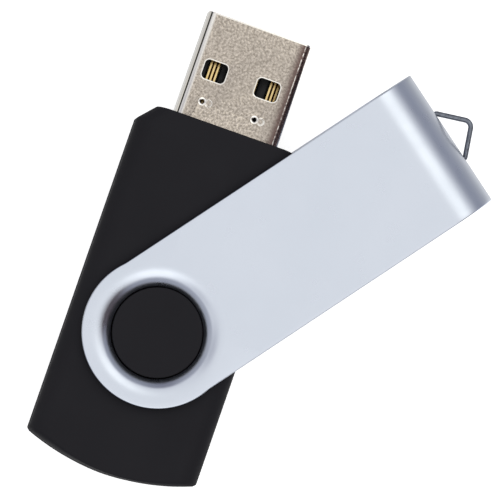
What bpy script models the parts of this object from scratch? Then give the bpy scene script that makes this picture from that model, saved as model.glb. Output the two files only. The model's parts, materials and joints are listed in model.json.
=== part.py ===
"""A swivel-cover USB flash drive, modelled in metres with +Z up.

The drive lies flat. +Y runs along the body to the tip of the USB plug. The origin is on the
swivel axis, on the plane that the drive lies on. The cover is turned part of the way open.
"""

import math

import bmesh
import bpy
from mathutils import Matrix, Vector

MM = 0.001

# How far a cutter runs past the face that it cuts, and a joined-on solid into its wall.
MARGIN = 1.0 * MM
OVERLAP = 0.2 * MM

# The stack, from the lower face of the cover to its upper face.
COVER_SHEET = 0.8 * MM
COVER_GAP = 0.35 * MM
BODY_THICKNESS = 8.4 * MM
THICKNESS = BODY_THICKNESS + 2 * (COVER_GAP + COVER_SHEET)
MIDDLE = THICKNESS / 2

# The plastic body. Y is measured from the swivel axis.
BODY_WIDTH = 19.46 * MM
BODY_FRONT = 23.67 * MM
BODY_REAR = -16.31 * MM
BODY_REAR_RADIUS = 26.1 * MM
SHOULDER_ACROSS = 1.7 * MM
SHOULDER_ALONG = 1.9 * MM
SIDE_ROUND = 2.4 * MM
WALL = 1.2 * MM
SEAM = 0.3 * MM

# The round boss that the cover turns on, and the groove around it.
BOSS_RADIUS = 4.9 * MM
BOSS_CORE_RADIUS = 3.7 * MM
BOSS_BELOW_COVER = 0.48 * MM
GROOVE_RADIUS = 7.0 * MM
GROOVE_DEPTH = 0.8 * MM
UNDER_GROOVE_RADIUS = GROOVE_RADIUS + WALL / 2

# The sheet-metal cover, in its own frame, where it points along +Y.
COVER_ANGLE = math.radians(-37.3)
COVER_HALF_WIDTH = 8.25 * MM
COVER_END_RADIUS = 8.34 * MM
COVER_LENGTH = 39.53 * MM
HOLE_RADIUS = 5.12 * MM
ROUND_STEPS = 48
DISH_STEPS = 1
BEND_STEPS = 14

# The pressed rim around each hole, as (distance from the swivel axis, slope in degrees).
DISH_SLOPES = (
    (HOLE_RADIUS, 36),
    (5.9 * MM, 36),
    (6.2 * MM, 22),
    (6.65 * MM, 14),
    (7.05 * MM, 6),
    (7.5 * MM, 0),
)

# The key loop, a bent wire that swings in two slots in the end of the cover.
WIRE_RADIUS = 0.29 * MM
LOOP_HALF_WIDTH = 2.93 * MM
LOOP_OFFSET = -0.17 * MM
LOOP_REACH = 3.02 * MM
LOOP_FOOT = 1.4 * MM
LOOP_BEND = 0.8 * MM
LOOP_CLEARANCE = 0.35 * MM
SLOT_WIDTH = 1.26 * MM
SLOT_HEIGHT = 2.3 * MM
LOOP_AXIS = COVER_LENGTH - COVER_SHEET - LOOP_CLEARANCE - WIRE_RADIUS

# The USB-A plug.
PLUG_WIDTH = 12.0 * MM
PLUG_HEIGHT = 4.5 * MM
PLUG_SHEET = 0.3 * MM
PLUG_CORNER = 0.6 * MM
PLUG_TIP = 35.61 * MM
PLUG_LENGTH = 18.75 * MM
PLUG_ARM = 3.3 * MM
PLUG_CLEARANCE = 0.15 * MM
WINDOW_X = 3.06 * MM
MARKS_OFFSET = -0.16 * MM
WINDOW_WIDTH = 2.5 * MM
WINDOW_LENGTH = 1.95 * MM
WINDOW_CORNER = 0.45 * MM
WINDOW_FROM_TIP = 6.1 * MM
PUNCH_X = 3.05 * MM
PUNCH_OFFSET = -0.4 * MM
PUNCH_RADIUS = 0.3 * MM
PUNCH_FROM_TIP = 9.65 * MM

# The tongue inside the plug, and its four contacts from side to side.
TONGUE_GAP = 0.15 * MM
TONGUE_TOP = MIDDLE
TONGUE_RECESS = 0.35 * MM
TONGUE_BLOCK = 2.6 * MM
TONGUE_EDGE = 0.2 * MM
SLOT_DEPTH = 0.45 * MM
SLOT_ACROSS = 1.6 * MM
CONTACT_WIDTH = 1.3 * MM
CONTACT_OFFSET = 0.15 * MM
CONTACT_SHEET = 0.25 * MM
CONTACT_DROP = 0.2 * MM
CONTACT_NOSE = 0.6 * MM
CONTACT_RISE = 0.8 * MM
CONTACT_HEEL = 0.2 * MM
CONTACT_TAIL = 1.4 * MM
CONTACTS = (
    ("usb_contact_power", -3.5 * MM, 1.2 * MM),
    ("usb_contact_data_minus", -1.0 * MM, 2.2 * MM),
    ("usb_contact_data_plus", 1.0 * MM, 2.2 * MM),
    ("usb_contact_ground", 3.5 * MM, 1.2 * MM),
)

# The circuit board.
BOARD_WIDTH = 14.5 * MM
BOARD_NECK_WIDTH = 10.4 * MM
BOARD_NECK = 13.1 * MM
BOARD_REAR = -12.8 * MM
BOARD_FRONT = 16.4 * MM
BOARD_TOP = 4.75 * MM
BOARD_SHEET = 0.8 * MM
SOLDER_GAP = 0.1 * MM

# The components on the board, as (across, along, height) and (x, y).
FLASH_SIZE = (12.0 * MM, 18.0 * MM, 1.0 * MM)
FLASH_PLACE = (0.0, -0.4 * MM)
CONTROLLER_SIZE = (5.0 * MM, 5.0 * MM, 0.85 * MM)
CONTROLLER_PLACE = (-2.2 * MM, 12.0 * MM)
CRYSTAL_SIZE = (3.2 * MM, 2.5 * MM, 0.8 * MM)
CRYSTAL_PLACE = (3.2 * MM, 11.0 * MM)
CHIP_EDGE = 0.12 * MM
SMALL_SIZE = (0.6 * MM, 1.0 * MM, 0.45 * MM)
SMALL_EDGE = 0.05 * MM
SMALL_PITCH = 1.5 * MM
UPPER_CAPACITORS = (1.3 * MM, 13.4 * MM)
LOWER_CAPACITORS = (-1.5 * MM, 11.0 * MM)
RESISTORS = (-2.25 * MM, 8.0 * MM)

# The pegs of the lower shell, which pass through the board into sockets of the upper shell.
PEG_X = 5.6 * MM
PEG_Y = -11.2 * MM
PEG_RADIUS = 0.6 * MM
PEG_HOLE_RADIUS = 0.9 * MM
PEG_POST_RADIUS = 1.5 * MM
PEG_LENGTH = 3.6 * MM
SUPPORT_GAP = 0.15 * MM
LEDGE_WIDTH = 1.7 * MM
LEDGE_REAR = -12.0 * MM
RIB_WIDTH = 10.0 * MM
RIB_LENGTH = 1.0 * MM
RIBS_FROM_FRONT = (2.4 * MM, 5.4 * MM)


def clear_scene():
    for obj in list(bpy.data.objects):
        bpy.data.objects.remove(obj, do_unlink=True)


def new_collection(name):
    collection = bpy.data.collections.new(name)
    bpy.context.scene.collection.children.link(collection)
    return collection


def new_material(name, colour, roughness, metallic):
    material = bpy.data.materials.new(name)
    material.use_nodes = True
    shader = material.node_tree.nodes["Principled BSDF"]
    shader.inputs["Base Color"].default_value = (*colour, 1.0)
    shader.inputs["Roughness"].default_value = roughness
    shader.inputs["Metallic"].default_value = metallic
    material.diffuse_color = (*colour, 1.0)
    return material


clear_scene()
PARTS = new_collection("usb_flash_drive")
CUTTERS = new_collection("cutters")
BLACK_PLASTIC = new_material("black_plastic", (0.018, 0.018, 0.021), 0.55, 0.0)
ANODISED = new_material("anodised_aluminium", (0.66, 0.70, 0.78), 0.38, 1.0)
STEEL_WIRE = new_material("steel_wire", (0.20, 0.22, 0.24), 0.35, 1.0)
NICKEL = new_material("nickel_plate", (0.52, 0.47, 0.41), 0.42, 1.0)
INSULATOR = new_material("insulator", (0.012, 0.012, 0.013), 0.5, 0.0)
GOLD = new_material("gold_plate", (0.83, 0.55, 0.20), 0.25, 1.0)
BOARD_GREEN = new_material("solder_mask", (0.01, 0.12, 0.04), 0.4, 0.0)
CHIP_EPOXY = new_material("chip_epoxy", (0.02, 0.02, 0.022), 0.6, 0.0)
CRYSTAL_CAN = new_material("crystal_can", (0.6, 0.6, 0.58), 0.3, 1.0)
CAPACITOR = new_material("capacitor_ceramic", (0.32, 0.20, 0.11), 0.5, 0.0)
RESISTOR = new_material("resistor_ceramic", (0.03, 0.03, 0.035), 0.45, 0.0)


def add_object(name, mesh, material=None):
    """Links an object: a part if it has a material, and otherwise a cutter."""
    obj = bpy.data.objects.new(name, mesh)
    if material:
        obj.data.materials.append(material)
        PARTS.objects.link(obj)
    else:
        obj.hide_render = True
        obj.display_type = "WIRE"
        CUTTERS.objects.link(obj)
    return obj


def combine(obj, other, operation):
    modifier = obj.modifiers.new(operation.lower(), "BOOLEAN")
    modifier.operation = operation
    modifier.object = other
    modifier.solver = "EXACT"


def cut(obj, *cutters):
    for cutter in cutters:
        combine(obj, cutter, "DIFFERENCE")


def join(obj, *others):
    for other in others:
        combine(obj, other, "UNION")


def box(name, low, high, material=None, edge=0.0):
    """A box between two corners, with its edges bevelled where edge is given."""
    bm = bmesh.new()
    low, high = Vector(low), Vector(high)
    size = high - low
    place = Matrix.Translation((low + high) / 2) @ Matrix.Diagonal((*size, 1.0))
    bmesh.ops.create_cube(bm, size=1.0, matrix=place)
    if edge:
        bmesh.ops.bevel(bm, geom=bm.edges[:], offset=edge, segments=1, affect="EDGES")
    return add_object(name, finished_mesh(name, bm), material)


def cylinder(name, radius, low, high, x=0.0, y=0.0, steps=24, material=None):
    """An upright cylinder from z = low to z = high."""
    bm = bmesh.new()
    bmesh.ops.create_cone(
        bm,
        cap_ends=True,
        segments=steps,
        radius1=radius,
        radius2=radius,
        depth=high - low,
        matrix=Matrix.Translation((x, y, (low + high) / 2)),
    )
    return add_object(name, finished_mesh(name, bm), material)


def finished_mesh(name, bm):
    bmesh.ops.recalc_face_normals(bm, faces=bm.faces[:])
    mesh = bpy.data.meshes.new(name)
    bm.to_mesh(mesh)
    bm.free()
    mesh.shade_smooth()
    mesh.set_sharp_from_angle(angle=math.radians(35))
    return mesh


def plate(name, outlines, low, high, upright=False, material=None):
    """Extrudes flat outlines from low to high along Z or, if upright, along Y.

    An upright outline is given as (x, z). A second outline inside the first is a hole.
    """
    curve = bpy.data.curves.new(name, "CURVE")
    curve.dimensions = "2D"
    curve.fill_mode = "BOTH"
    curve.extrude = (high - low) / 2
    for outline in outlines:
        spline = curve.splines.new("POLY")
        spline.points.add(len(outline) - 1)
        for point, (across, along) in zip(spline.points, outline):
            point.co = (across, along, 0.0, 1.0)
        spline.use_cyclic_u = True
    guide = bpy.data.objects.new(name + "_outline", curve)
    CUTTERS.objects.link(guide)
    guide.location = (0.0, 0.0, (low + high) / 2)
    if upright:
        guide.rotation_euler = (math.radians(90), 0.0, 0.0)
        guide.location = (0.0, (low + high) / 2, 0.0)
    return mesh_from_curve(guide, name, material)


def mesh_from_curve(guide, name, material):
    """Turns a curve object into a closed mesh object in the same place, and removes the curve."""
    bpy.context.view_layer.update()
    evaluated = guide.evaluated_get(bpy.context.evaluated_depsgraph_get())
    mesh = bpy.data.meshes.new_from_object(evaluated)
    bm = bmesh.new()
    bm.from_mesh(mesh)
    bmesh.ops.remove_doubles(bm, verts=bm.verts[:], dist=0.001 * MM)
    bmesh.ops.dissolve_limit(
        bm, angle_limit=math.radians(0.5), verts=bm.verts[:], edges=bm.edges[:]
    )
    bm.transform(guide.matrix_world)
    obj = add_object(name, finished_mesh(name, bm), material)
    bpy.data.objects.remove(guide, do_unlink=True)
    return obj


def ring(name, inner, outer, low, high):
    """A cutter in the shape of a flat washer around the swivel axis, turned from its section."""
    bm = bmesh.new()
    section = ((outer, high), (outer, low), (inner, low), (inner, high))
    corners = [bm.verts.new((radius, 0.0, z)) for radius, z in section]
    for start, end in zip(corners, corners[1:] + corners[:1]):
        bm.edges.new((start, end))
    mesh = bpy.data.meshes.new(name)
    bm.to_mesh(mesh)
    bm.free()
    obj = add_object(name, mesh)
    screw = obj.modifiers.new("turn", "SCREW")
    screw.steps = ROUND_STEPS
    screw.render_steps = ROUND_STEPS
    return obj


def arc(centre_x, centre_y, radius, start, end, steps):
    """Points on an arc between two angles in degrees."""
    angles = [math.radians(start + (end - start) * i / steps) for i in range(steps + 1)]
    return [
        (centre_x + radius * math.cos(a), centre_y + radius * math.sin(a))
        for a in angles
    ]


def rounded_rectangle(width, height, radius, steps, centre_x=0.0, centre_y=0.0):
    points = []
    quarters = ((1, 1, 0), (-1, 1, 90), (-1, -1, 180), (1, -1, 270))
    for side_x, side_y, start in quarters:
        corner_x = centre_x + side_x * (width / 2 - radius)
        corner_y = centre_y + side_y * (height / 2 - radius)
        points += arc(corner_x, corner_y, radius, start, start + 90, steps)
    return points


def body_outline(inset):
    """The body seen from above, drawn in by inset: chamfered shoulders and a curved rear end."""
    half = BODY_WIDTH / 2 - inset
    front = BODY_FRONT - inset
    normal = Vector((SHOULDER_ALONG, SHOULDER_ACROSS)).normalized()
    corner = Vector((BODY_WIDTH / 2, BODY_FRONT - SHOULDER_ALONG))
    reach = normal.dot(corner) - inset
    side_y = (reach - normal.x * half) / normal.y
    front_x = (reach - normal.y * front) / normal.x
    radius = BODY_REAR_RADIUS - inset
    swing = math.degrees(math.asin(half / radius))
    centre_y = BODY_REAR + BODY_REAR_RADIUS
    rear = arc(0.0, centre_y, radius, 270 - swing, 270 + swing, 12)
    return rear + [(half, side_y), (front_x, front), (-front_x, front), (-half, side_y)]


def span(low, high, upper):
    """Turns a range of heights above the mid-plane, or below it for the lower shell, into z."""
    if upper:
        return MIDDLE + low, MIDDLE + high
    return MIDDLE - high, MIDDLE - low


def body_section():
    """The body's cross-section, with rounded long edges, run along its whole length."""
    outline = rounded_rectangle(
        BODY_WIDTH, BODY_THICKNESS, SIDE_ROUND, 6, centre_y=MIDDLE
    )
    return plate(
        "body_section", [outline], -2 * BODY_FRONT, 2 * BODY_FRONT, upright=True
    )


def shell(name, upper, section, plug_opening):
    """One half of the body, hollow, with its boss, groove and the ribs that hold the plug."""
    side = "upper" if upper else "lower"
    face = BODY_THICKNESS / 2
    ceiling = face - WALL
    groove_floor = face - GROOVE_DEPTH
    boss_top = THICKNESS / 2 - BOSS_BELOW_COVER
    low, high = span(SEAM / 2, face, upper)
    obj = plate(name, [body_outline(0.0)], low, high, material=BLACK_PLASTIC)
    combine(obj, section, "INTERSECT")

    low, high = span(groove_floor, face + MARGIN, upper)
    cut(obj, ring("groove_" + side, BOSS_RADIUS - MARGIN, GROOVE_RADIUS, low, high))
    low, high = span(groove_floor - OVERLAP, boss_top, upper)
    join(obj, cylinder("boss_" + side, BOSS_RADIUS, low, high, steps=ROUND_STEPS))

    low, high = span(-MARGIN, ceiling, upper)
    hollow = plate("hollow_" + side, [body_outline(WALL)], low, high)
    low, high = span(groove_floor - WALL, ceiling + MARGIN, upper)
    cut(
        hollow,
        cylinder(
            "under_groove_" + side, UNDER_GROOVE_RADIUS, low, high, steps=ROUND_STEPS
        ),
    )
    low, high = span(0.0, boss_top - WALL, upper)
    core = cylinder("core_" + side, BOSS_CORE_RADIUS, low, high, steps=ROUND_STEPS)
    cut(obj, hollow, core, plug_opening)

    rib_end = PLUG_HEIGHT / 2 + SUPPORT_GAP
    for number, from_front in enumerate(RIBS_FROM_FRONT):
        y = BODY_FRONT - from_front
        low, high = span(rib_end, ceiling + OVERLAP, upper)
        join(
            obj,
            box(
                f"rib_{side}_{number}",
                (-RIB_WIDTH / 2, y - RIB_LENGTH, low),
                (RIB_WIDTH / 2, y, high),
            ),
        )
    return obj


def add_pegs(lower):
    """Posts that carry the board, ending in pegs, and a ledge along each side wall."""
    floor = MIDDLE - BODY_THICKNESS / 2 + WALL
    seat = BOARD_TOP - BOARD_SHEET - SUPPORT_GAP
    for side in (-1, 1):
        x = side * PEG_X
        name = "left" if side < 0 else "right"
        join(
            lower,
            cylinder("post_" + name, PEG_POST_RADIUS, floor - OVERLAP, seat, x, PEG_Y),
            cylinder("peg_" + name, PEG_RADIUS, floor, seat + PEG_LENGTH, x, PEG_Y),
        )
        wall = BODY_WIDTH / 2 - WALL
        low, high = sorted((side * (wall - LEDGE_WIDTH), side * (wall + OVERLAP)))
        join(
            lower,
            box(
                "ledge_" + name,
                (low, LEDGE_REAR, floor - OVERLAP),
                (high, BOARD_NECK, seat),
            ),
        )


def add_sockets(upper):
    """Tubes that hang from the upper shell, press down on the board and take the pegs."""
    ceiling = MIDDLE + BODY_THICKNESS / 2 - WALL
    for side in (-1, 1):
        x = side * PEG_X
        name = "left" if side < 0 else "right"
        tube_end = BOARD_TOP + SUPPORT_GAP
        join(
            upper,
            cylinder(
                "socket_" + name,
                PEG_POST_RADIUS,
                tube_end,
                ceiling + OVERLAP,
                x,
                PEG_Y,
            ),
        )
        bore_end = ceiling - SUPPORT_GAP
        cut(
            upper,
            cylinder(
                "socket_bore_" + name,
                PEG_HOLE_RADIUS,
                tube_end - MARGIN,
                bore_end,
                x,
                PEG_Y,
            ),
        )


def build_body():
    section = body_section()
    clearance = 2 * PLUG_CLEARANCE
    opening = rounded_rectangle(
        PLUG_WIDTH + clearance,
        PLUG_HEIGHT + clearance,
        PLUG_CORNER + PLUG_CLEARANCE,
        4,
        centre_y=MIDDLE,
    )
    plug_opening = plate(
        "plug_opening",
        [opening],
        BODY_FRONT - WALL - MARGIN,
        BODY_FRONT + MARGIN,
        upright=True,
    )
    add_sockets(shell("body_upper_shell", True, section, plug_opening))
    add_pegs(shell("body_lower_shell", False, section, plug_opening))


def dish_levels():
    """The pressed rim around a hole, as (radius, depth), from the hole out to the flat face."""
    radius, slope = DISH_SLOPES[-1]
    depth = 0.0
    levels = [(radius, depth)]
    for next_radius, next_slope in reversed(DISH_SLOPES[:-1]):
        width = (radius - next_radius) / DISH_STEPS
        for i in range(DISH_STEPS):
            middle_slope = slope + (next_slope - slope) * (i + 0.5) / DISH_STEPS
            depth += width * math.tan(math.radians(middle_slope))
            levels.append((radius - width * (i + 1), depth))
        radius, slope = next_radius, next_slope
    return levels[::-1]


def cover_edge(angle):
    """Distance from the swivel axis to the edge of the round end, at an angle from +Y."""
    if math.cos(angle) <= 0.0:
        return COVER_END_RADIUS
    across = abs(math.sin(angle))
    to_square = COVER_HALF_WIDTH / max(across, math.cos(angle))
    return max(COVER_END_RADIUS, to_square)


def cover_path():
    """The end of the cover from the side, as (y, z) of its outer face, a half round."""
    radius = THICKNESS / 2
    return arc(COVER_LENGTH - radius, MIDDLE, radius, 90, -90, BEND_STEPS)


def cover_end(bm, face, inward):
    """The faces around one hole. Returns the verts along the straight front edge."""
    rings = []
    for radius, depth in [*dish_levels(), (None, 0.0)]:
        points = []
        for i in range(ROUND_STEPS):
            angle = math.tau * i / ROUND_STEPS
            reach = radius or cover_edge(angle)
            place = (reach * math.sin(angle), reach * math.cos(angle), face + inward * depth)
            points.append(bm.verts.new(place))
        rings.append(points)
    for inside, outside in zip(rings, rings[1:]):
        for i in range(ROUND_STEPS):
            j = (i + 1) % ROUND_STEPS
            bm.faces.new((inside[i], inside[j], outside[j], outside[i]))
    corner = ROUND_STEPS // 8
    return [rings[-1][i] for i in range(-corner, corner + 1)]


def cover_sheet():
    """The cover's outer face, as an open mesh whose normals point outwards."""
    bm = bmesh.new()
    rows = [cover_end(bm, THICKNESS, -1)]
    across = [vert.co.x for vert in rows[0]]
    for y, z in cover_path():
        rows.append([bm.verts.new((x, y, z)) for x in across])
    rows.append(cover_end(bm, 0.0, 1))
    for row, following in zip(rows, rows[1:]):
        for i in range(len(across) - 1):
            bm.faces.new((row[i], row[i + 1], following[i + 1], following[i]))
    bmesh.ops.recalc_face_normals(bm, faces=bm.faces[:])
    if max(bm.faces, key=lambda face: face.calc_center_median().z).normal.z < 0:
        bmesh.ops.reverse_faces(bm, faces=bm.faces[:])
    mesh = bpy.data.meshes.new("swivel_cover")
    bm.to_mesh(mesh)
    bm.free()
    mesh.shade_smooth()
    return mesh


def build_cover(axis):
    """A strip bent into a U, whose two round ends have a hole with a pressed rim."""
    cover = add_object("swivel_cover", cover_sheet(), ANODISED)
    cover.parent = axis
    sheet = cover.modifiers.new("sheet", "SOLIDIFY")
    sheet.thickness = COVER_SHEET
    sheet.offset = -1.0
    sheet.use_even_offset = True
    for side in (-1, 1):
        centre = side * LOOP_HALF_WIDTH + LOOP_OFFSET
        slot = box(
            "loop_slot_left" if side < 0 else "loop_slot_right",
            (centre - SLOT_WIDTH / 2, LOOP_AXIS, MIDDLE - SLOT_HEIGHT / 2),
            (centre + SLOT_WIDTH / 2, COVER_LENGTH + MARGIN, MIDDLE + SLOT_HEIGHT / 2),
        )
        slot.parent = axis
        cut(cover, slot)


def loop_route():
    """The middle line of the key loop, in the plane of the loop, with its axis at y = 0."""
    wall = COVER_LENGTH - LOOP_AXIS
    apex = wall + LOOP_REACH
    slope = math.degrees(math.atan2(LOOP_REACH, LOOP_HALF_WIDTH))
    foot = arc(
        -LOOP_HALF_WIDTH - WIRE_RADIUS, WIRE_RADIUS, WIRE_RADIUS, -90, 0, 3
    )
    half_turn = 90 - slope
    apex_y = apex - LOOP_BEND * (1 / math.cos(math.radians(slope)) - 1)
    bend = arc(0.0, apex_y - LOOP_BEND, LOOP_BEND, 90 + slope, 90, 4)
    left = [(-LOOP_HALF_WIDTH - LOOP_FOOT, 0.0)] + foot
    elbow = arc(
        -LOOP_HALF_WIDTH + WIRE_RADIUS, wall, WIRE_RADIUS, 180, 180 - half_turn, 2
    )
    left += elbow + bend
    right = [(-x, y) for x, y in reversed(left[:-1])]
    return left + right


def build_key_loop(axis):
    curve = bpy.data.curves.new("key_loop", "CURVE")
    curve.dimensions = "3D"
    curve.bevel_depth = WIRE_RADIUS
    curve.bevel_resolution = 2
    curve.use_fill_caps = True
    route = loop_route()
    spline = curve.splines.new("POLY")
    spline.points.add(len(route) - 1)
    for point, (x, y) in zip(spline.points, route):
        point.co = (x, y, 0.0, 1.0)
    loop = add_object("key_loop", curve, STEEL_WIRE)
    loop.location = (LOOP_OFFSET, LOOP_AXIS, MIDDLE)
    loop.parent = axis


def build_plug_shell():
    """A folded tube with latch windows, punched marks and two arms that hold the board."""
    rear = PLUG_TIP - PLUG_LENGTH
    outer = rounded_rectangle(PLUG_WIDTH, PLUG_HEIGHT, PLUG_CORNER, 4, centre_y=MIDDLE)
    inner = rounded_rectangle(
        PLUG_WIDTH - 2 * PLUG_SHEET,
        PLUG_HEIGHT - 2 * PLUG_SHEET,
        PLUG_CORNER - PLUG_SHEET,
        4,
        centre_y=MIDDLE,
    )
    tube = plate(
        "usb_plug_shell",
        [outer, inner],
        rear - PLUG_ARM,
        PLUG_TIP,
        upright=True,
        material=NICKEL,
    )
    arm_inside = PLUG_WIDTH / 2 - PLUG_CORNER
    cut(
        tube,
        box(
            "between_arms",
            (-arm_inside, rear - PLUG_ARM - MARGIN, 0.0),
            (arm_inside, rear, THICKNESS),
        ),
    )
    for side in (-1, 1):
        name = "left" if side < 0 else "right"
        window = rounded_rectangle(
            WINDOW_WIDTH,
            WINDOW_LENGTH,
            WINDOW_CORNER,
            3,
            side * WINDOW_X + MARKS_OFFSET,
            PLUG_TIP - WINDOW_FROM_TIP,
        )
        punch = cylinder(
            "punch_" + name,
            PUNCH_RADIUS,
            MIDDLE,
            THICKNESS,
            side * PUNCH_X + MARKS_OFFSET + PUNCH_OFFSET,
            PLUG_TIP - PUNCH_FROM_TIP,
            steps=12,
        )
        cut(tube, plate("window_" + name, [window], 0.0, THICKNESS), punch)


def build_tongue():
    """The insulator: a rear block that fills the plug, and a tongue with a slot per contact."""
    rear = PLUG_TIP - PLUG_LENGTH + TONGUE_GAP
    half = PLUG_WIDTH / 2 - PLUG_SHEET - TONGUE_GAP
    floor = MIDDLE - PLUG_HEIGHT / 2 + PLUG_SHEET + TONGUE_GAP
    ceiling = MIDDLE + PLUG_HEIGHT / 2 - PLUG_SHEET - TONGUE_GAP
    tongue = box(
        "usb_plug_insulator",
        (-half, rear, floor),
        (half, PLUG_TIP - TONGUE_RECESS, TONGUE_TOP),
        INSULATOR,
        edge=TONGUE_EDGE,
    )
    block = box(
        "tongue_block",
        (-half, rear, floor),
        (half, rear + TONGUE_BLOCK, ceiling),
        edge=TONGUE_EDGE,
    )
    join(tongue, block)
    for name, side_x, from_tip in CONTACTS:
        x = side_x + CONTACT_OFFSET
        slot = box(
            "slot_for_" + name,
            (x - SLOT_ACROSS / 2, rear - MARGIN, TONGUE_TOP - SLOT_DEPTH),
            (
                x + SLOT_ACROSS / 2,
                PLUG_TIP - from_tip + CONTACT_DROP,
                TONGUE_TOP + SLOT_DEPTH / 2,
            ),
        )
        cut(tongue, slot)


def build_contacts():
    """Four sprung strips, each with a nose that dips into its slot and a tail on the board."""
    blade = TONGUE_TOP - CONTACT_SHEET / 2
    tail = BOARD_TOP + SOLDER_GAP + CONTACT_SHEET / 2
    heel = BOARD_FRONT - CONTACT_HEEL
    for name, side_x, from_tip in CONTACTS:
        x = side_x + CONTACT_OFFSET
        nose = PLUG_TIP - from_tip
        path = (
            (heel - CONTACT_TAIL, tail),
            (heel, tail),
            (heel + CONTACT_RISE, blade),
            (nose - CONTACT_NOSE, blade),
            (nose, blade - CONTACT_DROP / 2),
        )
        over = [(y, z + CONTACT_SHEET / 2) for y, z in path]
        under = [(y, z - CONTACT_SHEET / 2) for y, z in reversed(path)]
        strip = plate(
            name,
            [over + under],
            -CONTACT_WIDTH / 2,
            CONTACT_WIDTH / 2,
            material=GOLD,
        )
        # The strip was drawn as (y, z) and extruded along z: stand it up, then centre it on x.
        turn = Matrix(((0, 0, 1, x), (1, 0, 0, 0), (0, 1, 0, 0), (0, 0, 0, 1)))
        strip.data.transform(turn)


def build_board():
    half, neck = BOARD_WIDTH / 2, BOARD_NECK_WIDTH / 2
    outline = [
        (-half, BOARD_REAR),
        (half, BOARD_REAR),
        (half, BOARD_NECK),
        (neck, BOARD_NECK),
        (neck, BOARD_FRONT),
        (-neck, BOARD_FRONT),
        (-neck, BOARD_NECK),
        (-half, BOARD_NECK),
    ]
    low = BOARD_TOP - BOARD_SHEET
    board = plate("circuit_board", [outline], low, BOARD_TOP, material=BOARD_GREEN)
    for side in (-1, 1):
        name = "left" if side < 0 else "right"
        hole = cylinder(
            "board_hole_" + name,
            PEG_HOLE_RADIUS,
            low - MARGIN,
            BOARD_TOP + MARGIN,
            side * PEG_X,
            PEG_Y,
        )
        cut(board, hole)


def on_board(name, place, size, material, edge, underneath=False):
    """A component of size (across, along, height) on one face of the board."""
    x, y = place
    across, along, height = size
    low = BOARD_TOP + SOLDER_GAP
    if underneath:
        low = BOARD_TOP - BOARD_SHEET - SOLDER_GAP - height
    box(
        name,
        (x - across / 2, y - along / 2, low),
        (x + across / 2, y + along / 2, low + height),
        material,
        edge,
    )


def component_row(names, place, material, underneath):
    """Small components side by side. The place is that of the first."""
    for number, name in enumerate(names):
        spot = (place[0] + number * SMALL_PITCH, place[1])
        on_board(name, spot, SMALL_SIZE, material, SMALL_EDGE, underneath)


def build_components():
    on_board("flash_memory_chip", FLASH_PLACE, FLASH_SIZE, CHIP_EPOXY, CHIP_EDGE)
    on_board("controller_chip", CONTROLLER_PLACE, CONTROLLER_SIZE, CHIP_EPOXY, CHIP_EDGE)
    on_board("crystal_oscillator", CRYSTAL_PLACE, CRYSTAL_SIZE, CRYSTAL_CAN, CHIP_EDGE)
    capacitors = [f"capacitor_{number}" for number in range(1, 7)]
    resistors = [f"resistor_{number}" for number in range(1, 5)]
    component_row(capacitors[:3], UPPER_CAPACITORS, CAPACITOR, False)
    component_row(capacitors[3:], LOWER_CAPACITORS, CAPACITOR, True)
    component_row(resistors, RESISTORS, RESISTOR, True)


def cover_frame():
    """The empty that carries the cover and its loop, turned on the swivel axis."""
    axis = bpy.data.objects.new("cover_axis", None)
    axis.rotation_euler = (0.0, 0.0, COVER_ANGLE)
    PARTS.objects.link(axis)
    return axis


def build():
    build_body()
    cover_axis = cover_frame()
    build_cover(cover_axis)
    build_key_loop(cover_axis)
    build_plug_shell()
    build_tongue()
    build_contacts()
    build_board()
    build_components()


build()
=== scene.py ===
import json
import math

import bmesh
import bpy
from mathutils import Matrix, Vector


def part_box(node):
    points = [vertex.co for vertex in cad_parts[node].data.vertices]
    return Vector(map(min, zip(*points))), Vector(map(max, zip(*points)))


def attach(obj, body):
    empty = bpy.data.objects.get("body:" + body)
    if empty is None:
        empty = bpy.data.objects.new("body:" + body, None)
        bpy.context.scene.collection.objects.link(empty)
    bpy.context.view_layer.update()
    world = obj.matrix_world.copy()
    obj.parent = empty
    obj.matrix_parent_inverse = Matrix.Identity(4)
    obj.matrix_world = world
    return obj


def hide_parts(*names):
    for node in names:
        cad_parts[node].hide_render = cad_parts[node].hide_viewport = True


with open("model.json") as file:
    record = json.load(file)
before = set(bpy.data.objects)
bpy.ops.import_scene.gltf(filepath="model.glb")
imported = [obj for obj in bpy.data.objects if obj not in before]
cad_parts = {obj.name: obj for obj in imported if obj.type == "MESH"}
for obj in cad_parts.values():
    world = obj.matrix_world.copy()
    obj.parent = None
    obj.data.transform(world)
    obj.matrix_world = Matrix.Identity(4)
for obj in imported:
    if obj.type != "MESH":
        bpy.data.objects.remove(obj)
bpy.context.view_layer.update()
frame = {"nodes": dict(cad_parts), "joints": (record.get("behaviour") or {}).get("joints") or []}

MM = 0.001

# How far a cutter reaches past what it cuts.
MARGIN = 1.0 * MM

# The frame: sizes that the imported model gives.
BODY_LOW, BODY_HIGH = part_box("body_upper_shell")
PLUG_LOW, PLUG_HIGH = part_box("usb_plug_shell")
COVER_LOW, COVER_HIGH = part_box("swivel_cover")
TONGUE_LOW, TONGUE_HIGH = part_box("usb_plug_insulator")
THICKNESS = COVER_HIGH.z - COVER_LOW.z
MIDDLE = (COVER_HIGH.z + COVER_LOW.z) / 2
JOINTS = {joint["name"]: joint for joint in frame["joints"]}
LOOP_PIVOT = Vector(JOINTS["key_loop_swing"]["pos_m"])
LOOP_AXIS = Vector(JOINTS["key_loop_swing"]["axis"])
COVER_TURN = Matrix.Rotation(math.atan2(LOOP_AXIS.y, LOOP_AXIS.x), 4, "Z")

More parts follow.
